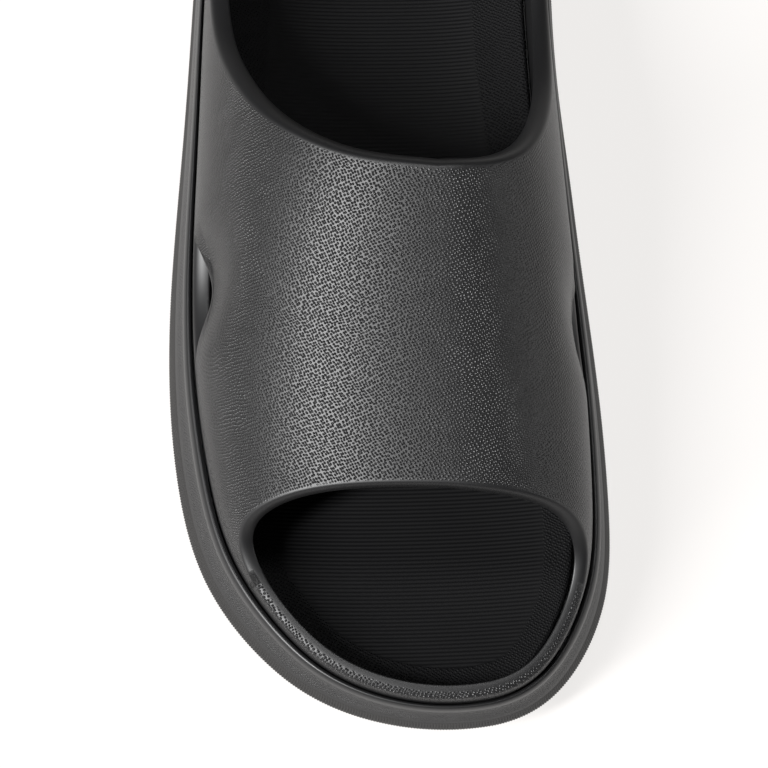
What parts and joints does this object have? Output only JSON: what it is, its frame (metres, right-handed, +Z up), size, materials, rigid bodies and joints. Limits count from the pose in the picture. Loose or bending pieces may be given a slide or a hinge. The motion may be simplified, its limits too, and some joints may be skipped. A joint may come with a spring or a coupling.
{
  "type": "sport slide sandal",
  "caption": "Moulded foam slide sandal with a broad instep strap, an open toe, a cupped footbed and a thick sole with toe spring.",
  "frame": {"origin": "middle of the bounding box at the floor the sole stands on", "axes": "+Y from the toe to the heel, +Z up, +X towards the big toe's side"},
  "size_m": [0.1127, 0.2844, 0.0876],
  "materials": {
    "upper_foam": "moulded foam with a fine pebble grain, satin",
    "sole_foam": "moulded foam, smooth bead over a pebbled cove, satin",
    "tread_foam": "moulded foam with fine upright ribs, matt",
    "bed_foam": "moulded foam with fine cross ribs, matt"
  },
  "bodies": {
    "root": {"upper": "upper_foam", "midsole": "sole_foam", "outsole": "tread_foam", "footbed": "bed_foam"}
  },
  "joints": []
}
